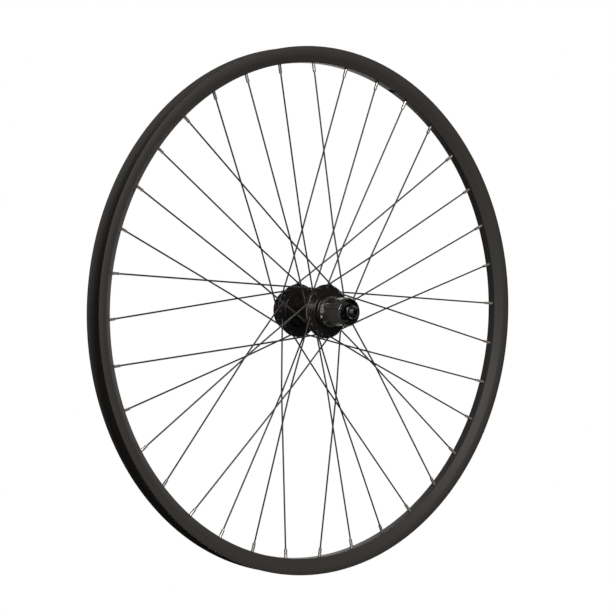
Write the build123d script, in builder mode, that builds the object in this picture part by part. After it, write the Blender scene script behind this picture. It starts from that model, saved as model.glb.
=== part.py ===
from build123d import *
import os
from math import cos, degrees, radians, sin

os.makedirs("parts", exist_ok=True)

# Rear bicycle wheel. The axle lies on Y and the rim is centred on the XZ plane.
# The disc side is +Y, the drive side is -Y and +X is the way the bicycle rolls.
# Angles run from +X towards +Z.

# Rim, with half widths about the centre plane
rim_outer_radius = 317.0
rim_depth = 18.2
rim_half_width = 12.7
rim_bed_half_width = 5.9
rim_shoulder_height = 8.2
rim_shoulder_step = 1.2
rim_crown_drop = 5.0
rim_crown_step = 0.4
rim_lip_thickness = 2.2
hook_depth = 6.0
rim_well_depth = 3.0
rim_well_half_width = 4.5
rim_bed_wall = 2.2
rim_bridge_wall = 1.8
rim_side_wall = 2.3
valve_hole_diameter = 8.5
valve_section_length = 36.0
strip_thickness = 0.6
strip_edge_gap = 0.2
strip_lift = 0.05
strip_lap_length = 13.0
strip_lap_angle = 131.5

# Lacing
spoke_count = 36
crossings = 3
spoke_phase = 0.9
valve_space = 6
spoke_diameter = 2.0
spoke_head_diameter = 4.0
spoke_head_height = 1.0
elbow_rise = 1.85
elbow_cut = 0.9
crossing_gap = 0.1
spoke_sides = 6
nipple_sides = 6
nipple_diameter = 4.0
nipple_length_showing = 11.5
nipple_head_diameter = 6.0
nipple_head_lift = 0.4
nipple_head_height = 1.4
nipple_hole_clearance = 0.25

# Hub shell, with insets from the locknut faces
flange_diameter = 65.0
flange_thickness = 3.2
flange_edge_chamfer = 1.5
flange_hole_edge = 3.5
flange_hole_diameter = 2.5
disc_face_inset = 15.3
disc_mount_diameter = 51.0
disc_mount_thickness = 8.0
disc_neck_diameter = 38.0
disc_neck_length = 7.1
disc_pilot_diameter = 34.9
disc_pilot_height = 1.8
disc_bolt_circle_diameter = 44.0
disc_bolt_count = 6
disc_bolt_hole_diameter = 4.2
barrel_diameter = 33.6
flare_diameter = 42.0
flare_length = 12.0
hub_lip_wall = 2.8
hub_lip_length = 5.5
hub_bore_diameter = 24.0

# Bearings, ratchet and pawls
hub_bearing_outer_diameter = 28.0
hub_bearing_width = 8.0
freehub_bearing_outer_diameter = 24.0
freehub_bearing_width = 6.0
seat_clearance = 0.02
running_clearance = 0.03
end_play = 0.3
ratchet_outer_diameter = 34.4
ratchet_width = 7.0
ratchet_floor_gap = 0.5
ratchet_wall = 1.3
tooth_count = 24
tooth_depth = 1.2
pawl_count = 3
pawl_pivot_x = -6.0
pawl_pivot_drop = 3.95
pawl_pivot_radius = 1.5
pawl_tip_x = -0.5
pawl_tip_gap = 0.5
pawl_tip_height = 1.8
pawl_width = 5.4
pawl_clearance = 0.15

# Freehub body
freehub_front_gap = 0.4
freehub_lip_diameter = 37.0
freehub_lip_width = 3.1
freehub_end_inset = 6.0
spline_length = 31.5
spline_diameter = 34.8
spline_depth = 1.4
spline_count = 9
spline_groove_width = 6.0
spline_narrow_groove_width = 3.6
spline_phase = 14.5
freehub_end_diameter = 32.2
freehub_end_taper = 2.8
lockring_bore_diameter = 29.4
lockring_bore_depth = 7.0
freehub_nose_gap = 0.7
freehub_nose_bore_diameter = 16.0

# Axle and what is fixed on it
locknut_span = 135.0
axle_end_length = 5.5
axle_diameter = 12.0
axle_end_diameter = 10.0
axle_shoulder_diameter = 15.0
axle_bore_diameter = 5.3
locknut_width = 7.5
locknut_across_flats = 17.0
spacer_diameter = 16.0
drive_spacer_diameter = 14.8
thread_clearance = 0.03

# Places worked out from the sizes above
rim_bed_radius = rim_outer_radius - rim_depth
rim_shoulder_radius = rim_bed_radius + rim_shoulder_height
rim_shoulder_half_width = rim_half_width - rim_shoulder_step
rim_crown_radius = rim_outer_radius - rim_crown_drop
rim_crown_half_width = rim_half_width + rim_crown_step
bead_seat_radius = rim_outer_radius - hook_depth
rim_well_radius = bead_seat_radius - rim_well_depth
spoke_step = 360 / spoke_count
lacing_angle = crossings * 2 * spoke_step
spoke_radius = spoke_diameter / 2
flange_hole_radius = flange_diameter / 2 - flange_hole_edge
locknut_face_y = locknut_span / 2
freehub_end_y = freehub_end_inset - locknut_face_y
freehub_back_y = freehub_end_y + spline_length
freehub_front_y = freehub_back_y + freehub_lip_width
hub_lip_y = freehub_front_y + freehub_front_gap
drive_face_y = hub_lip_y + hub_lip_length
drive_flange_y = drive_face_y + flange_thickness / 2
disc_face_y = locknut_face_y - disc_face_inset
left_face_y = disc_face_y - disc_mount_thickness - disc_neck_length
left_flange_y = left_face_y - flange_thickness / 2
left_bearing_y = disc_face_y + disc_pilot_height - hub_bearing_width
ratchet_floor_y = hub_lip_y + ratchet_width + ratchet_floor_gap
drive_bearing_y = ratchet_floor_y + hub_bearing_width
nose_end_y = ratchet_floor_y - end_play
lockring_floor_y = freehub_end_y + lockring_bore_depth
locknut_y = locknut_face_y - locknut_width
axle_end_y = locknut_face_y + axle_end_length
bearing_bore_radius = axle_diameter / 2 + running_clearance
spacer_bore_radius = axle_diameter / 2 + thread_clearance
hub_lip_diameter = ratchet_outer_diameter + 2 * hub_lip_wall
tooth_root_radius = ratchet_outer_diameter / 2 - ratchet_wall
tooth_tip_radius = tooth_root_radius - tooth_depth
freehub_nose_diameter = 2 * (tooth_tip_radius - freehub_nose_gap)
pawl_pivot_z = tooth_tip_radius - pawl_pivot_drop
pawl_tip_top = tooth_root_radius - pawl_tip_gap
pawl_tip_bottom = pawl_tip_top - pawl_tip_height

# The outermost crossing, halfway round between the two spokes that meet there
hub_half_angle = radians(lacing_angle - spoke_step)
rim_half_angle = radians(spoke_step)
hub_rise = flange_hole_radius * sin(hub_half_angle)
rim_rise = rim_bed_radius * sin(rim_half_angle)
crossing_share = hub_rise / (hub_rise + rim_rise)
crossing_from = flange_hole_radius * cos(hub_half_angle)
crossing_to = rim_bed_radius * cos(rim_half_angle)
crossing_radius = crossing_from + crossing_share * (crossing_to - crossing_from)


def at(radius, angle, y):
    """The point at a radius and an angle about the axle."""
    return Vector(radius * cos(radians(angle)), y, radius * sin(radians(angle)))


def turns(count):
    """Equal turns about the axle."""
    return [Location((0, 0, 0), (0, -360 * i / count, 0)) for i in range(count)]


def spoke_points(index, side, turn, out):
    """Head, both mitres of the elbow, the crossing and the seat on the spoke bed.

    side is +1 for the left flange, turn is the way round from rim to hub, and out is
    the way along Y in which the elbow leaves the flange.
    """
    angle = spoke_phase + index * spoke_step
    flange_y = left_flange_y if side > 0 else drive_flange_y
    hole_angle = angle + turn * lacing_angle
    head = at(flange_hole_radius, hole_angle, flange_y - out * flange_thickness / 2)
    corner_y = flange_y + out * (flange_thickness / 2 + elbow_rise)
    corner = at(flange_hole_radius, hole_angle, corner_y)
    crossing_y = flange_y * (1 - crossing_share) - out * (spoke_diameter + crossing_gap) / 2
    crossing = at(crossing_radius, angle + turn * spoke_step, crossing_y)
    seat = at(rim_bed_radius, angle, 0)
    elbow_in = corner - Vector(0, out, 0) * elbow_cut
    elbow_out = corner + (crossing - corner).normalized() * elbow_cut
    return head, elbow_in, elbow_out, crossing, seat


def nipple_plane(points):
    """The spoke bed at a nipple, facing out along the nipple's own spoke."""
    crossing, seat = points[-2:]
    return Plane(origin=seat, z_dir=seat - crossing)


# First spoke of each family of nine: index, flange side, way round, way out of the flange
families = {
    "left_outbound": (0, 1, 1, 1),
    "drive_outbound": (1, -1, -1, -1),
    "left_inbound": (2, 1, -1, -1),
    "drive_inbound": (3, -1, 1, 1),
}
family_size = spoke_count // len(families)
first_spokes = {name: spoke_points(*family) for name, family in families.items()}

# Rim, a hoop whose short stretch round the valve hole is a node of its own
rim_slope = (rim_shoulder_half_width - rim_bed_half_width) / (rim_shoulder_radius - rim_bed_radius)
box_inner_radius = rim_bed_radius + rim_bed_wall
box_outer_radius = rim_well_radius - rim_bridge_wall
box_inner_half_width = rim_bed_half_width + (box_inner_radius - rim_bed_radius) * rim_slope - rim_side_wall
box_outer_half_width = rim_bed_half_width + (box_outer_radius - rim_bed_radius) * rim_slope - rim_side_wall
hook_half_width = rim_half_width - rim_lip_thickness
valve_angle = spoke_phase + (valve_space + 0.5) * spoke_step
nipple_hole_radius = nipple_diameter / 2 + nipple_hole_clearance

with BuildPart() as rim_hoop:
    with BuildSketch(Plane.XY):
        with BuildLine():
            Polyline(
                (rim_bed_radius, 0),
                (rim_bed_radius, rim_bed_half_width),
                (rim_shoulder_radius, rim_shoulder_half_width),
                (rim_crown_radius, rim_crown_half_width),
                (rim_outer_radius, rim_half_width),
                (rim_outer_radius, hook_half_width),
                (bead_seat_radius, hook_half_width),
                (rim_well_radius, rim_well_half_width),
                (rim_well_radius, 0),
            )
            mirror(about=Plane.XZ)
        make_face()
        with BuildLine():
            Polyline(
                (box_inner_radius, 0),
                (box_inner_radius, box_inner_half_width),
                (box_outer_radius, box_outer_half_width),
                (box_outer_radius, 0),
            )
            mirror(about=Plane.XZ)
        make_face(mode=Mode.SUBTRACT)
    revolve(axis=Axis.Y)
    for turn in turns(family_size):
        planes = [nipple_plane(points) for points in first_spokes.values()]
        with BuildSketch(*[Plane(turn * plane.location) for plane in planes]):
            RegularPolygon(nipple_hole_radius, nipple_sides)
        extrude(amount=rim_bed_wall + nipple_head_lift, both=True, mode=Mode.SUBTRACT)
    with BuildSketch(Plane(origin=at(rim_bed_radius, valve_angle, 0), z_dir=at(1, valve_angle, 0))):
        Circle(valve_hole_diameter / 2)
    extrude(amount=rim_outer_radius - rim_bed_radius, both=True, mode=Mode.SUBTRACT)

valve_stretch = Plane(origin=at(rim_bed_radius, valve_angle, 0), x_dir=(0, 1, 0), z_dir=at(1, valve_angle, 0))
for name, mode in (("rim", Mode.SUBTRACT), ("rim_valve_section", Mode.INTERSECT)):
    with BuildPart() as rim_stretch:
        add(rim_hoop.part)
        with BuildSketch(valve_stretch):
            Rectangle(4 * rim_half_width, valve_section_length)
        extrude(amount=2 * rim_depth, both=True, mode=mode)
    rim_stretch.part.label = name
    export_step(rim_stretch.part, f"parts/{name}.step")

# Rim strip, a flat band in the well with its ends lapped
strip_inner_radius = rim_well_radius + strip_lift
strip_outer_radius = strip_inner_radius + strip_thickness
strip_width = 2 * (rim_well_half_width - strip_edge_gap)
lap_arc = degrees(strip_lap_length / strip_outer_radius)
lap_start = strip_lap_angle + lap_arc / 2

with BuildPart() as rim_strip:
    with BuildSketch(Plane.XY):
        with Locations((strip_inner_radius, 0)):
            Rectangle(strip_thickness, strip_width, align=(Align.MIN, Align.CENTER))
    revolve(axis=Axis.Y)
    with BuildSketch(Plane((0, 0, 0), x_dir=at(1, lap_start, 0), z_dir=at(1, lap_start + 90, 0))):
        with Locations((strip_inner_radius, 0)):
            Rectangle(2 * strip_thickness, strip_width, align=(Align.MIN, Align.CENTER))
    revolve(axis=Axis.Y, revolution_arc=lap_arc)
    with BuildSketch(Plane(origin=at(rim_bed_radius, valve_angle, 0), z_dir=at(1, valve_angle, 0))):
        Circle(valve_hole_diameter / 2)
    extrude(amount=rim_outer_radius - rim_bed_radius, mode=Mode.SUBTRACT)
rim_strip.part.label = "rim_strip"
export_step(rim_strip.part, "parts/rim_strip.step")

# Spokes, one node for each family of nine
for name, points in first_spokes.items():
    head, elbow_in, elbow_out, crossing, seat = points
    spoke_end = seat - (seat - crossing).normalized() * nipple_length_showing
    head_way = (head - elbow_in).normalized()
    with BuildPart() as first_spoke:
        with BuildLine() as centre_line:
            Polyline(head, elbow_in, elbow_out, crossing, spoke_end)
        with BuildSketch(Plane(origin=head, z_dir=-head_way)):
            RegularPolygon(spoke_radius, spoke_sides)
        sweep(path=centre_line.line, transition=Transition.RIGHT)
        with BuildSketch(Plane(origin=head, z_dir=head_way)):
            RegularPolygon(spoke_radius, spoke_sides)
        with BuildSketch(Plane(origin=head + head_way * spoke_head_height, z_dir=head_way)):
            RegularPolygon(spoke_head_diameter / 2, spoke_sides)
        loft()
    with BuildPart() as spokes:
        with Locations(*turns(family_size)):
            add(first_spoke.part)
    spokes.part.label = f"{name}_spokes"
    export_step(spokes.part, f"parts/{name}_spokes.step")

# Nipples, one node for each side
for side in ("left", "drive"):
    with BuildPart() as first_nipples:
        for name in (f"{side}_outbound", f"{side}_inbound"):
            bed = nipple_plane(first_spokes[name])
            head_start = rim_bed_wall + nipple_head_lift
            with BuildSketch(bed.offset(-nipple_length_showing)):
                RegularPolygon(nipple_diameter / 2, nipple_sides)
            extrude(amount=nipple_length_showing + head_start)
            with BuildSketch(bed.offset(head_start)):
                RegularPolygon(nipple_diameter / 2, nipple_sides)
            with BuildSketch(bed.offset(head_start + nipple_head_height)):
                RegularPolygon(nipple_head_diameter / 2, nipple_sides)
            loft()
    with BuildPart() as nipples:
        with Locations(*turns(family_size)):
            add(first_nipples.part)
    nipples.part.label = f"{side}_nipples"
    export_step(nipples.part, f"parts/{side}_nipples.step")

# Hub shell, turned about the axle, then drilled for the spokes and the disc bolts
flange_radius = flange_diameter / 2
chamfer_radius = flange_radius - flange_edge_chamfer
hub_bearing_radius = hub_bearing_outer_diameter / 2

with BuildPart() as hub_shell:
    with BuildSketch(Plane.XY):
        with BuildLine():
            Polyline(
                (hub_bearing_radius, disc_face_y + disc_pilot_height),
                (disc_pilot_diameter / 2, disc_face_y + disc_pilot_height),
                (disc_pilot_diameter / 2, disc_face_y),
                (disc_mount_diameter / 2, disc_face_y),
                (disc_mount_diameter / 2, disc_face_y - disc_mount_thickness),
                (disc_neck_diameter / 2, disc_face_y - disc_mount_thickness),
                (disc_neck_diameter / 2, left_face_y),
                (chamfer_radius, left_face_y),
                (flange_radius, left_face_y - flange_edge_chamfer),
                (flange_radius, left_face_y - flange_thickness),
                (flare_diameter / 2, left_face_y - flange_thickness),
                (barrel_diameter / 2, left_face_y - flange_thickness - flare_length),
                (barrel_diameter / 2, drive_face_y + flange_thickness),
                (flange_radius, drive_face_y + flange_thickness),
                (flange_radius, drive_face_y + flange_edge_chamfer),
                (chamfer_radius, drive_face_y),
                (hub_lip_diameter / 2, drive_face_y),
                (hub_lip_diameter / 2, hub_lip_y),
                (ratchet_outer_diameter / 2, hub_lip_y),
                (ratchet_outer_diameter / 2, ratchet_floor_y),
                (hub_bearing_radius, ratchet_floor_y),
                (hub_bearing_radius, drive_bearing_y),
                (hub_bore_diameter / 2, drive_bearing_y),
                (hub_bore_diameter / 2, left_bearing_y),
                (hub_bearing_radius, left_bearing_y),
                close=True,
            )
        make_face()
    revolve(axis=Axis.Y)
    for name, (index, side, turn, out) in families.items():
        head = first_spokes[name][0]
        with BuildSketch(*[Plane(t * Plane(head, z_dir=(0, out, 0)).location) for t in turns(family_size)]):
            RegularPolygon(flange_hole_diameter / 2, spoke_sides)
        extrude(amount=flange_thickness, mode=Mode.SUBTRACT)
    with BuildSketch(Plane.XZ.offset(-disc_face_y)):
        with PolarLocations(disc_bolt_circle_diameter / 2, disc_bolt_count):
            Circle(disc_bolt_hole_diameter / 2)
    extrude(amount=disc_mount_thickness, mode=Mode.SUBTRACT)
hub_shell.part.label = "hub_shell"
export_step(hub_shell.part, "parts/hub_shell.step")

# Cartridge bearings of the hub shell
with BuildPart() as hub_bearings:
    with BuildSketch(Plane.XZ.offset(-left_bearing_y), Plane.XZ.offset(-drive_bearing_y + hub_bearing_width)):
        Circle(hub_bearing_radius - seat_clearance)
        Circle(bearing_bore_radius, mode=Mode.SUBTRACT)
    extrude(amount=-hub_bearing_width)
hub_bearings.part.label = "hub_bearings"
export_step(hub_bearings.part, "parts/hub_bearings.step")

# Ratchet ring, with its steep tooth faces towards the pawl tips
tooth_step = 360 / tooth_count

with BuildPart() as ratchet_ring:
    with BuildSketch(Plane.XZ.offset(-hub_lip_y - ratchet_width)):
        Circle(ratchet_outer_diameter / 2 - seat_clearance)
        Circle(tooth_tip_radius, mode=Mode.SUBTRACT)
        with PolarLocations(0, tooth_count, start_angle=90):
            Polygon(
                (0, 0),
                (tooth_root_radius, 0),
                (tooth_tip_radius * cos(radians(tooth_step)), tooth_tip_radius * sin(radians(tooth_step))),
                align=None,
                mode=Mode.SUBTRACT,
            )
    extrude(amount=ratchet_width)
ratchet_ring.part.label = "ratchet_ring"
export_step(ratchet_ring.part, "parts/ratchet_ring.step")

# Freehub body, with splines outside and three pawl pockets in its nose
freehub_bearing_radius = freehub_bearing_outer_diameter / 2
spline_floor_radius = spline_diameter / 2 - spline_depth
spline_step = 360 / spline_count

with BuildPart() as freehub_body:
    with BuildSketch(Plane.XY):
        with BuildLine():
            Polyline(
                (freehub_nose_bore_diameter / 2, nose_end_y),
                (freehub_nose_diameter / 2, nose_end_y),
                (freehub_nose_diameter / 2, freehub_front_y),
                (freehub_lip_diameter / 2, freehub_front_y),
                (freehub_lip_diameter / 2, freehub_back_y),
                (spline_diameter / 2, freehub_back_y),
                (spline_diameter / 2, freehub_end_y + freehub_end_taper),
                (freehub_end_diameter / 2, freehub_end_y),
                (lockring_bore_diameter / 2, freehub_end_y),
                (lockring_bore_diameter / 2, lockring_floor_y),
                (freehub_bearing_radius, lockring_floor_y),
                (freehub_bearing_radius, freehub_back_y),
                (freehub_nose_bore_diameter / 2, freehub_back_y),
                close=True,
            )
        make_face()
    revolve(axis=Axis.Y)
    with BuildSketch(Plane.XZ.offset(-freehub_back_y)):
        for i in range(spline_count):
            groove_width = spline_narrow_groove_width if i == 0 else spline_groove_width
            with PolarLocations(spline_floor_radius, 1, start_angle=spline_phase + i * spline_step):
                Rectangle(2 * spline_depth, groove_width, align=(Align.MIN, Align.CENTER))
    extrude(amount=freehub_back_y - freehub_end_y, mode=Mode.SUBTRACT)
    with BuildSketch(Plane.XZ.offset(-nose_end_y)):
        with PolarLocations(0, pawl_count):
            with Locations((pawl_pivot_x, pawl_pivot_z)):
                Circle(pawl_pivot_radius + pawl_clearance)
            Polygon(
                (pawl_pivot_x - pawl_pivot_radius - pawl_clearance, pawl_pivot_z),
                (pawl_pivot_x - pawl_pivot_radius - pawl_clearance, tooth_root_radius),
                (pawl_pivot_radius, tooth_root_radius),
                (pawl_pivot_radius, pawl_tip_bottom - pawl_pivot_radius),
                (pawl_pivot_x + pawl_pivot_radius, pawl_pivot_z - pawl_pivot_radius),
                align=None,
            )
    extrude(amount=nose_end_y - freehub_front_y, mode=Mode.SUBTRACT)
freehub_body.part.label = "freehub_body"
export_step(freehub_body.part, "parts/freehub_body.step")

# Cartridge bearings of the freehub body
with BuildPart() as freehub_bearings:
    with BuildSketch(
        Plane.XZ.offset(-freehub_back_y), Plane.XZ.offset(-lockring_floor_y - freehub_bearing_width)
    ):
        Circle(freehub_bearing_radius - seat_clearance)
        Circle(bearing_bore_radius, mode=Mode.SUBTRACT)
    extrude(amount=freehub_bearing_width)
freehub_bearings.part.label = "freehub_bearings"
export_step(freehub_bearings.part, "parts/freehub_bearings.step")

# Pawls, each a barrel that turns in its pocket and an arm up to a tooth
for number, turn in enumerate(turns(pawl_count), start=1):
    with BuildPart() as first_pawl:
        with BuildSketch(Plane.XZ.offset(-freehub_front_y - pawl_width - pawl_clearance)):
            with Locations((pawl_pivot_x, pawl_pivot_z)):
                Circle(pawl_pivot_radius)
            Polygon(
                (pawl_tip_x, pawl_tip_top),
                (pawl_pivot_x, pawl_pivot_z + pawl_pivot_radius),
                (pawl_pivot_x, pawl_pivot_z - pawl_pivot_radius),
                (pawl_tip_x, pawl_tip_bottom),
                align=None,
            )
        extrude(amount=pawl_width)
    with BuildPart() as pawl:
        with Locations(turn):
            add(first_pawl.part)
    pawl.part.label = f"pawl_{number}"
    export_step(pawl.part, f"parts/pawl_{number}.step")

# Axle, hollow for a skewer, with a shoulder between the hub bearings
shoulder_left_y = left_bearing_y - end_play
shoulder_drive_y = drive_bearing_y + end_play

with BuildPart() as axle:
    with BuildSketch(Plane.XY):
        with BuildLine():
            Polyline(
                (axle_bore_diameter / 2, -axle_end_y),
                (axle_end_diameter / 2, -axle_end_y),
                (axle_end_diameter / 2, -locknut_face_y),
                (axle_diameter / 2, -locknut_face_y),
                (axle_diameter / 2, shoulder_drive_y),
                (axle_shoulder_diameter / 2, shoulder_drive_y),
                (axle_shoulder_diameter / 2, shoulder_left_y),
                (axle_diameter / 2, shoulder_left_y),
                (axle_diameter / 2, locknut_face_y),
                (axle_end_diameter / 2, locknut_face_y),
                (axle_end_diameter / 2, axle_end_y),
                (axle_bore_diameter / 2, axle_end_y),
                close=True,
            )
        make_face()
    revolve(axis=Axis.Y)
axle.part.label = "axle"
export_step(axle.part, "parts/axle.step")

# Spacers on the axle, each between a bearing and what clamps it
spacers = {
    "left_spacer": (left_bearing_y + hub_bearing_width + end_play, locknut_y, spacer_diameter),
    "drive_spacer": (freehub_back_y + end_play, ratchet_floor_y - end_play, drive_spacer_diameter),
    "right_spacer": (-locknut_y, lockring_floor_y - end_play, spacer_diameter),
}
for name, (start_y, end_y, diameter) in spacers.items():
    with BuildPart() as spacer:
        with BuildSketch(Plane.XZ.offset(-end_y)):
            Circle(diameter / 2)
            Circle(spacer_bore_radius, mode=Mode.SUBTRACT)
        extrude(amount=end_y - start_y)
    spacer.part.label = name
    export_step(spacer.part, f"parts/{name}.step")

# Locknuts, which clamp the frame between them and the skewer
for name, outer_y in (("left_locknut", locknut_face_y), ("right_locknut", -locknut_y)):
    with BuildPart() as locknut:
        with BuildSketch(Plane.XZ.offset(-outer_y)):
            RegularPolygon(locknut_across_flats / 2, 6, major_radius=False)
            Circle(spacer_bore_radius, mode=Mode.SUBTRACT)
        extrude(amount=locknut_width)
    locknut.part.label = name
    export_step(locknut.part, f"parts/{name}.step")
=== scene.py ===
from math import cos, pi, radians, sin, tan

import bmesh
import bpy
from mathutils import Matrix, Vector


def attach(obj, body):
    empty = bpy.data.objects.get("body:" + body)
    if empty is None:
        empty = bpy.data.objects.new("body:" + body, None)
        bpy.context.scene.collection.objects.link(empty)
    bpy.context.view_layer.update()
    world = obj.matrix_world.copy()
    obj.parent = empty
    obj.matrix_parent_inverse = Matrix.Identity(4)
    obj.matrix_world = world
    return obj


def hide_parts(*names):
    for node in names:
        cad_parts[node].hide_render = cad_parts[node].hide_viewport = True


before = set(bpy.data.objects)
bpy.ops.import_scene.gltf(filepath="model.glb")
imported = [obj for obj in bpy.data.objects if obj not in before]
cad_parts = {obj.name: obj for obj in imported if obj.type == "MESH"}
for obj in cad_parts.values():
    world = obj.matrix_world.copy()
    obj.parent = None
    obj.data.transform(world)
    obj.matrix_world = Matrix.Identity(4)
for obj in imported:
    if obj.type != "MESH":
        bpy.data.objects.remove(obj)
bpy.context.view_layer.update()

# Axle
# A hollow steel axle, turned from bar, with a fine thread rolled on each end.
# It stays still in the frame while the hub and the freehub turn on it.
MM = 0.001
axle_half_length, axle_bore = 73.0, 2.65
axle_shoulder, axle_end_radius = 67.5, 5.0
axle_seat_radius, axle_middle_radius = 6.0, 7.5
middle_left, middle_right = 45.7, -10.7
thread_pitch, thread_depth = 1.0, 0.55
thread_start, thread_end = axle_shoulder + 0.3, axle_half_length - 0.2
thread_row_step, thread_row_count = 0.1, 50
outside_slack = 0.1


def linear(code):
    """An sRGB hex colour as linear red, green, blue and alpha."""
    parts = [int(code[i:i + 2], 16) / 255 for i in (1, 3, 5)]
    return [c / 12.92 if c <= 0.04045 else ((c + 0.055) / 1.055) ** 2.4 for c in parts] + [1.0]


def add_node(tree, kind, inputs=None, **settings):
    """Add a node, give it its settings, and link or set its inputs."""
    made = tree.nodes.new(kind)
    for name, value in settings.items():
        setattr(made, name, value)
    for name, value in (inputs or {}).items():
        if isinstance(value, bpy.types.NodeSocket):
            tree.links.new(value, made.inputs[name])
        else:
            made.inputs[name].default_value = value
    return made


def start_finish(name, look):
    """A material with one Principled shader, and its tree, its shader and the object's coordinates."""
    material = bpy.data.materials.new(name)
    material.use_nodes = True
    tree = material.node_tree
    tree.nodes.clear()
    shader = add_node(tree, "ShaderNodeBsdfPrincipled", look)
    add_node(tree, "ShaderNodeOutputMaterial", {"Surface": shader.outputs["BSDF"]})
    place = add_node(tree, "ShaderNodeTexCoord").outputs["Object"]
    return material, tree, shader, place


def lathe_place(tree, place):
    """Distance from the axle and place along it, so that a pattern runs round as tool marks do."""
    flat = add_node(tree, "ShaderNodeVectorMath", {0: place, 1: (1, 0, 1)}, operation="MULTIPLY")
    radius = add_node(tree, "ShaderNodeVectorMath", {0: flat.outputs[0]}, operation="LENGTH")
    along = add_node(tree, "ShaderNodeSeparateXYZ", {0: place})
    both = add_node(tree, "ShaderNodeCombineXYZ", {0: radius.outputs["Value"], 1: along.outputs["Y"]})
    return both.outputs[0]


def uneven(tree, shader, place, grain_mm, detail, gloss=None, depth_mm=None):
    """Vary a finish by a noise of a real grain size, between two roughnesses and by a real depth."""
    noise = add_node(tree, "ShaderNodeTexNoise", {
        "Vector": place, "Scale": 1 / (grain_mm * MM), "Detail": detail,
    }).outputs[0]
    if gloss:
        low, high = gloss
        rough = add_node(tree, "ShaderNodeMapRange", {"Value": noise, "To Min": low, "To Max": high})
        tree.links.new(rough.outputs[0], shader.inputs["Roughness"])
    if depth_mm:
        bump = add_node(tree, "ShaderNodeBump", {
            "Height": noise, "Distance": depth_mm * MM, "Strength": 1.0,
        })
        tree.links.new(bump.outputs[0], shader.inputs["Normal"])
    return noise


def shade(piece, sharp_angle=32):
    """Smooth faces, with an edge wherever they meet at more than an angle."""
    piece.data.shade_smooth()
    piece.data.set_sharp_from_angle(angle=radians(sharp_angle))
    return piece


def solid(name, points, faces):
    """A closed mesh object from points in millimetres, with its faces turned outwards."""
    mesh = bpy.data.meshes.new(name)
    mesh.from_pydata([Vector(p) * MM for p in points], [], faces)
    made = bmesh.new()
    made.from_mesh(mesh)
    bmesh.ops.recalc_face_normals(made, faces=made.faces)
    made.to_mesh(mesh)
    made.free()
    piece = bpy.data.objects.new(name, mesh)
    bpy.context.scene.collection.objects.link(piece)
    return shade(piece)


def round_corners(points, radii, closed=True, steps=4, side_share=0.48):
    """The points of a line with each corner replaced by a bend of its own radius.

    A bend takes up no more than side_share of the sides that it joins.
    """
    bent = []
    for i, (corner, radius) in enumerate(zip(points, radii)):
        at_end = not closed and i in (0, len(points) - 1)
        if at_end or radius == 0:
            bent.append(corner)
            continue
        back = points[i - 1] - corner
        ahead = points[(i + 1) % len(points)] - corner
        reach = min(
            radius / tan(back.angle(ahead) / 2), side_share * back.length, side_share * ahead.length,
        )
        start = corner + back.normalized() * reach
        end = corner + ahead.normalized() * reach
        for step in range(steps + 1):
            t = step / steps
            bent.append(start * (1 - t) ** 2 + corner * 2 * t * (1 - t) + end * t ** 2)
    return bent


def ring_faces(columns, rows):
    """The faces of a closed ring, whose points come column by column."""
    faces = []
    for column in range(columns):
        here, there = column * rows, (column + 1) % columns * rows
        for row in range(rows):
            after = (row + 1) % rows
            faces.append((here + row, here + after, there + after, there + row))
    return faces


def turned(name, corners, columns=96, reshape=None):
    """A solid turned about the axle from corners of (radius, along, corner radius).

    reshape, where it is given, turns a radius, a place along and an angle into a new radius.
    """
    outline = round_corners([Vector(c[:2]) for c in corners], [c[2] for c in corners])
    points = []
    for column in range(columns):
        angle = 2 * pi * column / columns
        for radius, along in outline:
            size = reshape(radius, along, angle) if reshape else radius
            points.append((size * cos(angle), along, size * sin(angle)))
    return solid(name, points, ring_faces(columns, len(outline)))


def dress(piece, material, body, slot, *stands_for):
    """Give a piece its finish, the body that it rides on and the nodes that it stands for."""
    piece.data.materials.clear()
    piece.data.materials.append(material)
    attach(piece, body)
    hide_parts(*stands_for)


def rolled_thread(radius, along, angle):
    """Cut a fine helical thread into the axle's ends."""
    on_end = thread_start < abs(along) < thread_end
    if not on_end or radius < axle_end_radius - outside_slack:
        return radius
    turn = (along / thread_pitch - angle / (2 * pi)) % 1
    return radius - thread_depth * abs(2 * turn - 1)


thread_rows = [thread_start + thread_row_step * i for i in range(thread_row_count)]
left_half = [
    (axle_middle_radius, middle_left, 0.3), (axle_seat_radius, middle_left, 0),
    (axle_seat_radius, axle_shoulder, 0.2), (axle_end_radius, axle_shoulder, 0),
    *[(axle_end_radius, along, 0) for along in thread_rows],
    (axle_end_radius, axle_half_length, 0.4), (axle_bore, axle_half_length, 0.3),
]
right_half = [
    (axle_bore, -axle_half_length, 0.3), (axle_end_radius, -axle_half_length, 0.4),
    *[(axle_end_radius, -along, 0) for along in reversed(thread_rows)],
    (axle_end_radius, -axle_shoulder, 0), (axle_seat_radius, -axle_shoulder, 0.2),
    (axle_seat_radius, middle_right, 0), (axle_middle_radius, middle_right, 0.3),
]
axle_shaft = turned("axle_shaft", right_half + left_half, reshape=rolled_thread)

# Turned bar steel with a light oil film: grey metal with fine rings from the tool.
bar_steel, tree, shader, place = start_finish("turned_bar_steel", {
    "Base Color": linear("#4c4a47"), "Metallic": 1.0, "Roughness": 0.38,
})
tool_marks = lathe_place(tree, place)
uneven(tree, shader, tool_marks, grain_mm=0.5, detail=3.0, gloss=(0.3, 0.46), depth_mm=0.02)
dress(axle_shaft, bar_steel, "axle", "axle_steel", "axle")

# Spacers
# Short steel tubes on the axle that keep the bearings and the locknuts apart.
# They are parted off on a lathe and blackened.
slide_bore = 6.03
bore_edge, rim_edge = 0.2, 0.3

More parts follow.
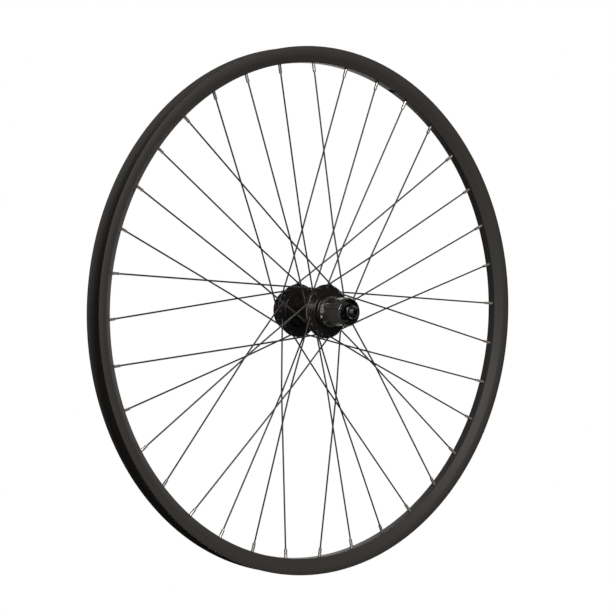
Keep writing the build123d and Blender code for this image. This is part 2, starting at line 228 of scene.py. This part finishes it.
# Black oxide on steel: dark grey metal, a little cloudy where the bath took unevenly.
black_oxide, tree, shader, place = start_finish("black_oxide_steel", {
    "Base Color": linear("#424345"), "Metallic": 1.0, "Roughness": 0.38,
})
uneven(tree, shader, place, grain_mm=1.2, detail=5.0, gloss=(0.28, 0.5), depth_mm=0.015)
for name, low, high, radius, finish, slot in (
    ("left_spacer", 54.3, 60.0, 8.0, black_oxide, "black_nut"),
    ("right_spacer", -60.0, -54.8, 8.0, black_oxide, "black_nut"),
    ("drive_spacer", -29.7, -19.3, 7.4, bar_steel, "axle_steel"),
):
    tube = turned(f"{name}_tube", [
        (slide_bore, low, bore_edge), (radius, low, rim_edge),
        (radius, high, rim_edge), (slide_bore, high, bore_edge),
    ])
    dress(tube, finish, "axle", slot, name)

# Locknuts
# Hexagon nuts with the outer corners turned off and a ring of sharp ridges on the outer
# face, which bite into the frame. Steel, blackened.
nut_half_flat, nut_corner_angle = 8.5, 30
nut_inner, nut_outer = 60.0, 67.5
nut_edge, nut_back_edge = 0.3, 0.2
ridge_low, ridge_high = 6.6, 8.0
ridge_depth, ridge_slope = 0.35, 0.1
nut_columns = 120


def locknut(name, side):
    """A nut on one side of the hub: +1 for left, -1 for right."""
    points = []
    for column in range(nut_columns):
        angle = 2 * pi * column / nut_columns
        across = (angle + pi / 6) % (pi / 3) - pi / 6
        corner = nut_half_flat / cos(across)
        turned_off = (corner - nut_half_flat) * tan(radians(nut_corner_angle))
        ridge = nut_outer - ridge_depth * (column % 2)
        for radius, along in (
            (slide_bore, nut_inner), (corner - nut_back_edge, nut_inner), (corner, nut_inner + nut_edge),
            (corner, nut_outer - nut_edge - turned_off), (nut_half_flat - nut_edge, nut_outer),
            (ridge_high, nut_outer), (ridge_high - ridge_slope, ridge), (ridge_low + ridge_slope, ridge),
            (ridge_low, nut_outer), (slide_bore, nut_outer),
        ):
            points.append((radius * cos(angle), side * along, radius * sin(angle)))
    return solid(name, points, ring_faces(nut_columns, len(points) // nut_columns))


for name, side in (("left_locknut", 1), ("right_locknut", -1)):
    dress(locknut(f"{name}_ridged", side), black_oxide, "axle", "black_nut", name)

# Cartridge bearings
# Sealed ball bearings: a ground steel ring outside, a smaller one inside, and a black rubber
# seal pressed between them on each face.
inner_ring_width, outer_ring_width = 2.0, 1.6
seal_drop, seal_set_back, seal_lip = 0.35, 0.1, 0.5
bearing_columns = 128

# Ground bearing steel: bright, with rings too fine to feel.
ring_steel, tree, shader, place = start_finish("ground_bearing_steel", {
    "Base Color": linear("#a9a8a5"), "Metallic": 1.0, "Roughness": 0.22,
})
tool_marks = lathe_place(tree, place)
uneven(tree, shader, tool_marks, grain_mm=0.3, detail=2.0, gloss=(0.15, 0.3))

# Moulded nitrile rubber: matt black with a fine grain.
seal_rubber, tree, shader, place = start_finish("nitrile_rubber", {
    "Base Color": linear("#1a1a1a"), "Roughness": 0.6,
})
uneven(tree, shader, place, grain_mm=0.4, detail=4.0, gloss=(0.5, 0.75), depth_mm=0.02)


def reach_of(face):
    """A face's distance from the axle, in millimetres."""
    return Vector((face.center.x, face.center.z)).length / MM


def sealed_bearing(name, low, high, radius):
    """One cartridge, from its low to its high face along the axle."""
    inner_ring, outer_ring = slide_bore + inner_ring_width, radius - outer_ring_width
    face_rows = [
        (slide_bore, 0, 0.3), (inner_ring, 0, 0.1), (inner_ring, seal_drop, 0),
        (inner_ring + seal_lip, seal_set_back, 0.2), (outer_ring - seal_lip, seal_set_back, 0.2),
        (outer_ring, seal_drop, 0), (outer_ring, 0, 0.1), (radius, 0, 0.4),
    ]
    low_face = [(size, low + depth, bend) for size, depth, bend in face_rows]
    high_face = [(size, high - depth, bend) for size, depth, bend in reversed(face_rows)]
    piece = turned(name, low_face + high_face, bearing_columns)
    piece.data.materials.append(ring_steel)
    piece.data.materials.append(seal_rubber)
    for face in piece.data.polygons:
        face.material_index = int(inner_ring < reach_of(face) < outer_ring)
    return piece


def join(pieces, name):
    """Several mesh objects as one."""
    whole = bmesh.new()
    materials = list(pieces[0].data.materials)
    for piece in pieces:
        whole.from_mesh(piece.data)
        bpy.data.objects.remove(piece)
    mesh = bpy.data.meshes.new(name)
    whole.to_mesh(mesh)
    whole.free()
    for material in materials:
        mesh.materials.append(material)
    made = bpy.data.objects.new(name, mesh)
    bpy.context.scene.collection.objects.link(made)
    return shade(made)


for name, body, radius, faces in (
    ("hub_bearings", "wheel", 13.98, ((46.0, 54.0), (-19.0, -11.0))),
    ("freehub_bearings", "freehub", 11.98, ((-36.0, -30.0), (-54.5, -48.5))),
):
    cartridges = [sealed_bearing(f"{name}_{i}", *ends, radius) for i, ends in enumerate(faces)]
    cartridge_set = join(cartridges, f"{name}_sealed")
    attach(cartridge_set, body)
    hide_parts(name)

# Freehub body
# The splined steel drum that carries the sprockets, turned and then milled with nine grooves.
# Its nose, inside the hub, holds three pawls in pockets.
spline_floor, spline_top = 16.0, 17.4
spline_phase, spline_count = 14.5, 9
groove_width, narrow_groove_width = 6.0, 3.6
freehub_back, freehub_end = -30.0, -61.5
taper_start, taper_radius = -58.7, 16.1
nose_end, nose_back = -19.3, -26.9
nose_radius, nose_bore = 14.0, 8.0
lip_radius = 18.5
bearing_seat = 12.0
mouth_radius, mouth_floor = 14.7, -54.5
pawl_count, pawl_pivot, pawl_pivot_radius = 3, (-6.0, 10.75), 1.65
pocket_outline = [(-7.65, 10.75), (-7.65, 15.9), (1.5, 15.9), (1.5, 12.1), (-4.5, 9.25)]
cutter_run_out, cutter_clearance = 1, 2
broken_edge, broken_edge_angle = 0.22, 40
drum_columns = 180


def settle(piece):
    """Turn a piece's modifiers into its own plain mesh."""
    graph = bpy.context.evaluated_depsgraph_get()
    mesh = bpy.data.meshes.new_from_object(piece.evaluated_get(graph))
    piece.modifiers.clear()
    piece.data = mesh
    return shade(piece)


def cut(piece, cutter):
    """Cut a closed mesh out of a piece."""
    modifier = piece.modifiers.new("cut", "BOOLEAN")
    modifier.operation = "DIFFERENCE"
    modifier.solver = "MANIFOLD"
    modifier.object = cutter
    settle(piece)
    bpy.data.objects.remove(cutter)


def prisms(name, outline, frames, low, high):
    """Closed prisms of one outline, each from low to high along the z of its own frame."""
    points, faces = [], []
    sides = len(outline)
    for place in frames:
        start = len(points)
        for height in (low, high):
            points += [place @ Vector((x, y, height)) for x, y in outline]
        faces.append([start + i for i in reversed(range(sides))])
        faces.append([start + sides + i for i in range(sides)])
        for i in range(sides):
            after = (i + 1) % sides
            faces.append((start + i, start + after, start + sides + after, start + sides + i))
    return solid(name, points, faces)


def circle(radius, sides=32):
    """A round outline."""
    return [(radius * cos(2 * pi * i / sides), radius * sin(2 * pi * i / sides)) for i in range(sides)]


def about_axle(angle):
    """A frame turned by an angle in degrees from +X towards +Z, with its own z along -Y."""
    return Matrix.Rotation(radians(-angle), 4, "Y") @ Matrix.Rotation(radians(90), 4, "X")


splined_drum = turned("splined_drum", [
    (nose_bore, nose_end, 0.2), (nose_radius, nose_end, 0.4), (nose_radius, nose_back, 0.2),
    (lip_radius, nose_back, 0.5), (lip_radius, freehub_back, 0), (spline_top, freehub_back, 0),
    (spline_top, taper_start, 0.5), (taper_radius, freehub_end, 0.4), (mouth_radius, freehub_end, 0.4),
    (mouth_radius, mouth_floor, 0.3), (bearing_seat, mouth_floor, 0.2), (bearing_seat, freehub_back, 0.1),
    (nose_bore, freehub_back, 0.2),
], drum_columns)
for i in range(spline_count):
    half = (narrow_groove_width if i == 0 else groove_width) / 2
    outside = spline_top + cutter_clearance
    groove = [(spline_floor, -half), (outside, -half), (outside, half), (spline_floor, half)]
    frames = [about_axle(spline_phase + i * 360 / spline_count)]
    cut(splined_drum, prisms("groove", groove, frames, -freehub_back, -freehub_end + cutter_run_out))
thirds = [about_axle(i * 360 / pawl_count) for i in range(pawl_count)]
pivots = [place @ Matrix.Translation((*pawl_pivot, 0)) for place in thirds]
for name, outline, frames in (
    ("pocket", pocket_outline, thirds), ("pivot", circle(pawl_pivot_radius), pivots),
):
    cut(splined_drum, prisms(name, outline, frames, -nose_end - cutter_run_out, -nose_back))
edge = splined_drum.modifiers.new("broken_edges", "BEVEL")
edge.width = broken_edge * MM
edge.segments = 2
edge.angle_limit = radians(broken_edge_angle)
edge.harden_normals = True
settle(splined_drum)

# Hardened steel, ground on the outside: a semi-gloss grey with fine rings from the wheel.
drum_steel, tree, shader, place = start_finish("ground_drum_steel", {
    "Base Color": linear("#a09e9a"), "Metallic": 1.0, "Roughness": 0.3,
})
tool_marks = lathe_place(tree, place)
uneven(tree, shader, tool_marks, grain_mm=0.8, detail=3.0, gloss=(0.22, 0.4), depth_mm=0.015)
dress(splined_drum, drum_steel, "freehub", "freehub_steel", "freehub_body")

# Painted shade: the faces inside the freehub's mouth, a deep recess, take a dull, dark and grainy finish,
# much darker than the drum's outside.
painted_mouth_shade, tree, shader, place = start_finish("mouth_painted_shade", {
    "Base Color": linear("#161514"), "Metallic": 0.0, "Roughness": 0.6, "Specular IOR Level": 0.3,
})
uneven(tree, shader, place, grain_mm=0.5, detail=4.0, gloss=(0.5, 0.75), depth_mm=0.02)
splined_drum.data.materials.append(painted_mouth_shade)
mouth_shade_radius, mouth_margin = 15.95, 0.5
# The mouth's faces, inside this radius and near its floor, take the painted shade.
for face in splined_drum.data.polygons:
    in_mouth = reach_of(face) < mouth_shade_radius and face.center.y / MM < mouth_floor + mouth_margin
    face.material_index = int(in_mouth)

# Ratchet ring and pawls
# A ring of 24 saw teeth fixed in the hub, and three steel pawls that a spring presses into it.
# Ground and hardened, slightly straw coloured from the heat.
tool_steel, tree, shader, place = start_finish("hardened_steel", {
    "Base Color": linear("#7d766b"), "Metallic": 1.0, "Roughness": 0.3,
})
heat = uneven(tree, shader, place, grain_mm=6, detail=3.0, gloss=(0.22, 0.4))
tint = add_node(tree, "ShaderNodeMix", {
    "Factor": heat, "A": linear("#86817a"), "B": linear("#6f6454"),
}, data_type="RGBA")
tree.links.new(tint.outputs["Result"], shader.inputs["Base Color"])
for name in ("ratchet_ring", "pawl_1", "pawl_2", "pawl_3"):
    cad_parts[name].data.materials[0] = tool_steel

# Hub shell
# One aluminium forging, turned all over: two spoke flanges on a barrel that flares to the left,
# the six-bolt disc mount, and a lip round the ratchet. Anodised gloss black.
flange_hole_radius = 29.0
left_flange, drive_flange = 35.5, -19.4
flange_thickness = 3.2
disc_bolt_radius, disc_hole_radius, disc_bolts = 22.0, 2.1, 6
disc_hole_floor, disc_hole_mouth = 43.0, 53.5
hub_columns = 216
disc_mount = [
    (14.0, 54.0, 0.4), (17.45, 54.0, 0.4), (17.45, 52.2, 0.2),
    (25.5, 52.2, 0.8), (25.5, 44.2, 0.8), (19.0, 44.2, 1.5), (19.0, 37.1, 1.5),
]
left_flange_edge = [(31.0, 37.1, 1.0), (32.5, 35.6, 0.8), (32.5, 33.9, 0.6)]
flared_barrel = [(21.0, 33.9, 1.0), (16.8, 21.9, 0.6), (16.8, -17.8, 3.0)]
drive_flange_edge = [(32.5, -17.8, 0.6), (32.5, -19.5, 0.8), (31.0, -21.0, 1.0)]
ratchet_lip = [(20.0, -21.0, 1.2), (20.0, -26.5, 1.4), (17.2, -26.5, 0.3), (17.2, -19.0, 0.1)]
bearing_seats = [
    (14.0, -19.0, 0.2), (14.0, -11.0, 0.1), (12.0, -11.0, 0.2), (12.0, 46.0, 0.2), (14.0, 46.0, 0.1),
]
hub_outside = disc_mount + left_flange_edge + flared_barrel + drive_flange_edge + ratchet_lip
hub_forging = turned("hub_forging", hub_outside + bearing_seats, hub_columns)
from_axle = Matrix.Translation((disc_bolt_radius, 0, 0))
bolt_frames = [about_axle(i * 360 / disc_bolts) @ from_axle for i in range(disc_bolts)]
bolt_hole = circle(disc_hole_radius)
cut(hub_forging, prisms("disc_hole", bolt_hole, bolt_frames, -disc_hole_mouth, -disc_hole_floor))

# Black anodising on turned aluminium: a thin clear-looking gloss over fine rings.
gloss_anodised, tree, shader, place = start_finish("gloss_black_anodising", {
    "Base Color": linear("#151311"), "Metallic": 0.0, "Roughness": 0.22, "Specular IOR Level": 0.4,
})
tool_marks = lathe_place(tree, place)
uneven(tree, shader, tool_marks, grain_mm=0.7, detail=3.0, gloss=(0.15, 0.34), depth_mm=0.012)
dress(hub_forging, gloss_anodised, "wheel", "black_hub", "hub_shell")

# Spokes
# 36 straight-gauge stainless wires with a formed head and a bent elbow, laced three-cross.
# At the outermost crossing each wire passes behind the one that it has met. Blackened.
spoke_count, crossings, spoke_phase = 36, 3, 0.9
wire_radius, wire_sides = 1.0, 14
elbow_rise, elbow_bend, crossing_bend, bend_steps = 1.85, 2.2, 25.0, 7
spoke_bed = 298.8
nipple_showing = 11.5
thread_in_nipple = 7.0
crossing_offset = 1.05
spoke_step = 360 / spoke_count
# Each family's first spoke, its flange (+1 left, -1 drive), its way round the hub, and the way along
# the axle that its elbows point.
families = {
    "left_outbound": (0, 1, 1, 1), "drive_outbound": (1, -1, -1, -1),
    "left_inbound": (2, 1, -1, -1), "drive_inbound": (3, -1, 1, 1),
}
family_size = spoke_count // len(families)
# A head's rows, from its crown to the flange: the height above the flange's face, and the radius.
head_rows = ((1.0, 0.7), (0.95, 1.45), (0.78, 1.9), (0.55, 1.85), (0.15, 1.15))


def at(radius, angle, along):
    """The point at a radius and an angle about the axle, in millimetres."""
    return Vector((radius * cos(radians(angle)), along, radius * sin(radians(angle))))


def crossing_place():
    """How far out along a spoke its outermost crossing lies, as a share and as a radius."""
    hub_half, rim_half = radians((2 * crossings - 1) * spoke_step), radians(spoke_step)
    hub_rise, rim_rise = flange_hole_radius * sin(hub_half), spoke_bed * sin(rim_half)
    share = hub_rise / (hub_rise + rim_rise)
    hub_reach, rim_reach = flange_hole_radius * cos(hub_half), spoke_bed * cos(rim_half)
    return share, hub_reach + share * (rim_reach - hub_reach)


def spoke_line(index, side, turn, out):
    """Where a spoke's hole, elbow, crossing and seat in the rim are."""
    angle = spoke_phase + index * spoke_step
    flange = left_flange if side > 0 else drive_flange
    hole_angle = angle + turn * 2 * crossings * spoke_step
    share, crossing_radius = crossing_place()
    hole = at(flange_hole_radius, hole_angle, flange - out * flange_thickness / 2)
    elbow = at(flange_hole_radius, hole_angle, flange + out * (flange_thickness / 2 + elbow_rise))
    crossing = at(crossing_radius, angle + turn * spoke_step, flange * (1 - share) - out * crossing_offset)
    return hole, elbow, crossing, at(spoke_bed, angle, 0)


def geometry_tree(name, *inputs):
    """A Geometry Nodes tree with named inputs, and the outputs of its input node."""
    tree = bpy.data.node_groups.new(name, "GeometryNodeTree")
    for socket, kind in (("Geometry", "NodeSocketGeometry"), *inputs):
        tree.interface.new_socket(socket, in_out="INPUT", socket_type=kind)
    tree.interface.new_socket("Geometry", in_out="OUTPUT", socket_type="NodeSocketGeometry")
    return tree, add_node(tree, "NodeGroupInput").outputs


def grow(piece, tree, **values):
    """Put a Geometry Nodes tree on a piece, with its named inputs set by their identifiers."""
    modifier = piece.modifiers.new(tree.name, "NODES")
    modifier.node_group = tree
    for socket in tree.interface.items_tree:
        if socket.in_out == "INPUT" and socket.name in values:
            modifier[socket.identifier] = values[socket.name]


# A line of points, each with its own wire radius, drawn out into a round wire.
wire_tree, given = geometry_tree("drawn_wire", ("Sides", "NodeSocketInt"))
line = add_node(wire_tree, "GeometryNodeMeshToCurve", {"Mesh": given["Geometry"]})
thickness = add_node(wire_tree, "GeometryNodeInputNamedAttribute", {
    "Name": "wire_radius",
}, data_type="FLOAT")
section = add_node(wire_tree, "GeometryNodeCurvePrimitiveCircle", {
    "Resolution": given["Sides"], "Radius": 1.0,
})
wire = add_node(wire_tree, "GeometryNodeCurveToMesh", {
    "Curve": line.outputs[0], "Profile Curve": section.outputs[0],
    "Scale": thickness.outputs["Attribute"], "Fill Caps": True,
})
add_node(wire_tree, "NodeGroupOutput", {"Geometry": wire.outputs[0]})

# Equal copies of a piece round the axle.
round_tree, given = geometry_tree(
    "round_the_axle", ("Copies", "NodeSocketInt"), ("Finish", "NodeSocketMaterial"),
)
spots = add_node(round_tree, "GeometryNodePoints", {"Count": given["Copies"]})
number = add_node(round_tree, "GeometryNodeInputIndex")
part_turn = add_node(round_tree, "ShaderNodeMath", {
    0: number.outputs[0], 1: given["Copies"],
}, operation="DIVIDE")
turned_by = add_node(round_tree, "ShaderNodeMath", {
    0: part_turn.outputs[0], 1: 2 * pi,
}, operation="MULTIPLY")
about_y = add_node(round_tree, "ShaderNodeCombineXYZ", {1: turned_by.outputs[0]})
copies = add_node(round_tree, "GeometryNodeInstanceOnPoints", {
    "Points": spots.outputs[0], "Instance": given["Geometry"], "Rotation": about_y.outputs[0],
})
real = add_node(round_tree, "GeometryNodeRealizeInstances", {"Geometry": copies.outputs[0]})
finished = add_node(round_tree, "GeometryNodeSetMaterial", {
    "Geometry": real.outputs[0], "Material": given["Finish"],
})
add_node(round_tree, "NodeGroupOutput", {"Geometry": finished.outputs[0]})

# Stainless wire with a black coating: smooth and satin, a little brown where the light catches it.
black_wire, tree, shader, place = start_finish("blackened_stainless_wire", {
    "Base Color": linear("#322f2e"), "Metallic": 0.2, "Roughness": 0.34,
})
uneven(tree, shader, place, grain_mm=4, detail=4.0, gloss=(0.28, 0.46), depth_mm=0.01)

for name, family in families.items():
    out = family[-1]
    hole, elbow, crossing, seat = spoke_line(*family)
    outwards = (seat - crossing).normalized()
    wire_end = seat - outwards * (nipple_showing - thread_in_nipple)
    head = [(hole - Vector((0, out * height, 0)), radius) for height, radius in head_rows]
    bends = round_corners(
        [hole, elbow, crossing, wire_end], [0, elbow_bend, crossing_bend, 0],
        closed=False, steps=bend_steps,
    )
    path = head + [(point, wire_radius) for point in bends]
    mesh = bpy.data.meshes.new(f"{name}_wires")
    mesh.from_pydata([point * MM for point, _ in path], [(i, i + 1) for i in range(len(path) - 1)], [])
    radii = mesh.attributes.new("wire_radius", "FLOAT", "POINT")
    radii.data.foreach_set("value", [radius * MM for _, radius in path])
    wires = bpy.data.objects.new(f"{name}_wires", mesh)
    bpy.context.scene.collection.objects.link(wires)
    grow(wires, wire_tree, Sides=wire_sides)
    grow(wires, round_tree, Copies=family_size, Finish=black_wire)
    settle(wires)
    dress(wires, black_wire, "wheel", "black_spoke", f"{name}_spokes")

# Nipples
# Brass nuts with a round body, four wrench flats and a flared head inside the rim, screwed onto
# the spokes. Plated with bright nickel.
nipple_radius, half_flat, nipple_bore = 2.0, 1.62, 1.06
closed_radius = 0.02
nipple_columns = 32
# A nipple's rows: how far out from the spoke bed, the radius, and how much of the wrench flats they have.
nipple_rows = (
    (-3.2, closed_radius, 0), (-3.2, nipple_bore, 0), (-11.1, nipple_bore, 0), (-nipple_showing, 1.3, 0),
    (-nipple_showing, 1.5, 0.5), (-11.2, 1.95, 1), (-5.6, nipple_radius, 1), (-4.8, nipple_radius, 0),
    (2.6, nipple_radius, 0), (3.6, 2.9, 0), (4.0, 2.6, 0), (4.0, closed_radius, 0),
)


def nipple_frame(family):
    """The spoke bed at a family's first nipple, with z out along the spoke."""
    crossing, seat = spoke_line(*family)[2:]
    outwards = (seat - crossing).normalized()
    across = outwards.cross(Vector((0, 1, 0))).normalized()
    turned_frame = Matrix((across, outwards.cross(across), outwards)).transposed().to_4x4()
    return Matrix.Translation(seat) @ turned_frame


def nipple(name, family):
    """One nipple: round rows, and rows cut flat on four sides."""
    place = nipple_frame(family)
    points, faces = [], []
    for height, radius, flatness in nipple_rows:
        for column in range(nipple_columns):
            angle = 2 * pi * column / nipple_columns
            flat = half_flat / max(abs(cos(angle)), abs(sin(angle)))
            size = radius + (min(radius, flat) - radius) * flatness
            points.append(place @ Vector((size * cos(angle), size * sin(angle), height)))
    for row in range(len(nipple_rows) - 1):
        here, there = row * nipple_columns, (row + 1) * nipple_columns
        for column in range(nipple_columns):
            after = (column + 1) % nipple_columns
            faces.append((here + column, here + after, there + after, there + column))
    last = (len(nipple_rows) - 1) * nipple_columns
    faces.append(list(range(nipple_columns)))
    faces.append([last + i for i in range(nipple_columns)])
    return solid(name, points, faces)


# Nickel plate on turned brass: bright, slightly warm, with a gloss that varies from spot to spot.
nickel_plate, tree, shader, place = start_finish("nickel_plated_brass", {
    "Base Color": linear("#c4c0ba"), "Metallic": 0.8, "Roughness": 0.24,
})
uneven(tree, shader, place, grain_mm=1.5, detail=4.0, gloss=(0.16, 0.32))
for side in ("left", "drive"):
    pair = [nipple(f"{side}_{way}", families[f"{side}_{way}"]) for way in ("outbound", "inbound")]
    nipples = join(pair, f"{side}_nipple_set")
    grow(nipples, round_tree, Copies=family_size, Finish=nickel_plate)
    settle(nipples)
    dress(nipples, nickel_plate, "wheel", "nipple_brass", f"{side}_nipples")

# Rim
# A hollow aluminium section with hooked edges, extruded, rolled into a hoop and joined, then
# drilled for the nipples and the valve. Anodised satin black.
rim_columns = 540
nipple_hole_radius, nipple_hole_sides = 2.6, 20
drill_start, drill_end = -3.0, 3.5
valve_angle, valve_radius = 65.9, 4.25
valve_drill_start, valve_drill_end = 294.0, 312.0
# From the spoke bed up the side wall, over the lip and down the channel to the well.
left_wall = [
    (298.1, 5.5, 0.8), (307.0, 11.5, 9.0), (312.0, 13.1, 12.0), (317.0, 12.7, 0.6), (317.0, 10.5, 0.6),
    (311.0, 10.5, 0.6), (308.0, 4.5, 1.0),
]
left_of_box = [(301.0, 5.10, 0.5), (306.2, 8.65, 0.5)]


def hoop(name, left_side):
    """A ring whose section is a left side and its mirror image."""
    right_side = [(radius, -along, bend) for radius, along, bend in reversed(left_side)]
    return turned(name, left_side + right_side, rim_columns)


rim_hoop = hoop("rim_hoop", left_wall)
cut(rim_hoop, hoop("rim_box", left_of_box))
repeats = [Matrix.Rotation(2 * pi * i / family_size, 4, "Y") for i in range(family_size)]
drillings = [turn @ nipple_frame(family) for family in families.values() for turn in repeats]
nipple_hole = circle(nipple_hole_radius, nipple_hole_sides)
cut(rim_hoop, prisms("drilling", nipple_hole, drillings, drill_start, drill_end))
valve_frame = Matrix.Rotation(radians(90 - valve_angle), 4, "Y")
valve_hole = circle(valve_radius)
cut(rim_hoop, prisms("valve_hole", valve_hole, [valve_frame], valve_drill_start, valve_drill_end))

# Satin anodising over extruded aluminium: charcoal black with faint lines that run round the
# hoop, left by the die, and a fine etch all over.
satin_anodised, tree, shader, place = start_finish("satin_black_anodising", {
    "Base Color": linear("#363432"), "Metallic": 0.0, "Roughness": 0.4, "Specular IOR Level": 0.15,
})
die_lines = lathe_place(tree, place)
uneven(tree, shader, die_lines, grain_mm=1.2, detail=2.0, gloss=(0.4, 0.55))
uneven(tree, shader, place, grain_mm=0.6, detail=3.0, depth_mm=0.02)
dress(rim_hoop, satin_anodised, "wheel", "black_rim", "rim", "rim_valve_section")

# Rim strip
# A flat plastic band that covers the inside of the well, with its two ends lapped and bonded.
# It is stretched into the well and stays there by its own tension.

# Nylon tape: dark and dull, with the slight unevenness of its threads.
strip_tape, tree, shader, place = start_finish("nylon_tape", {
    "Base Color": linear("#2c2b29"), "Roughness": 0.62,
})
uneven(tree, shader, place, grain_mm=0.8, detail=4.0, gloss=(0.5, 0.72), depth_mm=0.03)
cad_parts["rim_strip"].data.materials[0] = strip_tape

# Studio
# A white floor lit from below, a white surround, soft lamps in front, at the side and behind,
# and the camera where the photograph was taken from.
floor_half, floor_height = 6.0, -0.3172
floor_mesh = bpy.data.meshes.new("floor")
floor_mesh.from_pydata(
    [(x * floor_half, y * floor_half, floor_height) for x, y in ((-1, -1), (1, -1), (1, 1), (-1, 1))],
    [], [(0, 1, 2, 3)],
)
floor = bpy.data.objects.new("floor", floor_mesh)
bpy.context.scene.collection.objects.link(floor)
# Opal acrylic lit from below: an even white, which takes no shadow and gets no lighter under the lamps.
opal_acrylic = start_finish("lit_opal_acrylic", {
    "Base Color": linear("#000000"), "Roughness": 0.9, "Specular IOR Level": 0.0,
    "Emission Color": linear("#ffffff"), "Emission Strength": 1.0,
})[0]
floor_mesh.materials.append(opal_acrylic)
floor.visible_glossy = False
floor.visible_diffuse = False

# The surround is white to the camera, and gives the wheel only a faint fill.
surround = bpy.data.worlds.new("white_surround")
surround.use_nodes = True
tree = surround.node_tree
tree.nodes.clear()
seen = add_node(tree, "ShaderNodeBackground", {"Color": linear("#ffffff"), "Strength": 1.0})
fill = add_node(tree, "ShaderNodeBackground", {"Color": linear("#ffffff"), "Strength": 0.08})
ray = add_node(tree, "ShaderNodeLightPath")
mixed = add_node(tree, "ShaderNodeMixShader", {
    0: ray.outputs["Is Camera Ray"], 1: fill.outputs[0], 2: seen.outputs[0],
})
add_node(tree, "ShaderNodeOutputWorld", {"Surface": mixed.outputs[0]})
bpy.context.scene.world = surround
bpy.context.scene.view_settings.view_transform = "Standard"


def soft_lamp(name, place, width, height, brightness, mirrored=True):
    """A lit panel of an even brightness that faces the wheel's centre, and may show in gloss."""
    lamp = bpy.data.lights.new(name, "AREA")
    lamp.shape = "RECTANGLE"
    lamp.size = width
    lamp.size_y = height
    lamp.energy = brightness * pi * width * height
    lamp.color = linear("#fffcf9")[:3]
    holder = bpy.data.objects.new(name, lamp)
    holder.location = place
    holder.visible_camera = False
    holder.visible_glossy = mirrored
    holder.rotation_euler = Vector(place).to_track_quat("Z", "Y").to_euler()
    bpy.context.scene.collection.objects.link(holder)


soft_lamp("front_lamp", (-0.6, -2.05, 1.05), width=1.1, height=1.4, brightness=12.0)
soft_lamp("side_lamp", (-2.05, -1.65, 0.0), width=0.3, height=2.2, brightness=6.0)
soft_lamp("backdrop_lamp", (1.8, 1.9, 0.0), width=3.4, height=3.6, brightness=1.7)
soft_lamp("back_lamp", (0.75, 2.1, 0.3), width=1.1, height=1.4, brightness=8.0, mirrored=False)

view_azimuth, view_elevation, view_distance = -39.46, 1.619, 2.1448
turn, rise = radians(view_azimuth), radians(view_elevation)
back = Vector((sin(turn) * cos(rise), -cos(turn) * cos(rise), sin(rise)))
lens = bpy.data.cameras.new("camera")
lens.sensor_width = 36.0
lens.lens = 104.48
lens.shift_x = -0.01693
lens.shift_y = 0.00827
lens.clip_end = 50.0
camera = bpy.data.objects.new("camera", lens)
camera.location = back * view_distance
camera.rotation_euler = back.to_track_quat("Z", "Y").to_euler()
bpy.context.scene.collection.objects.link(camera)
bpy.context.scene.camera = camera
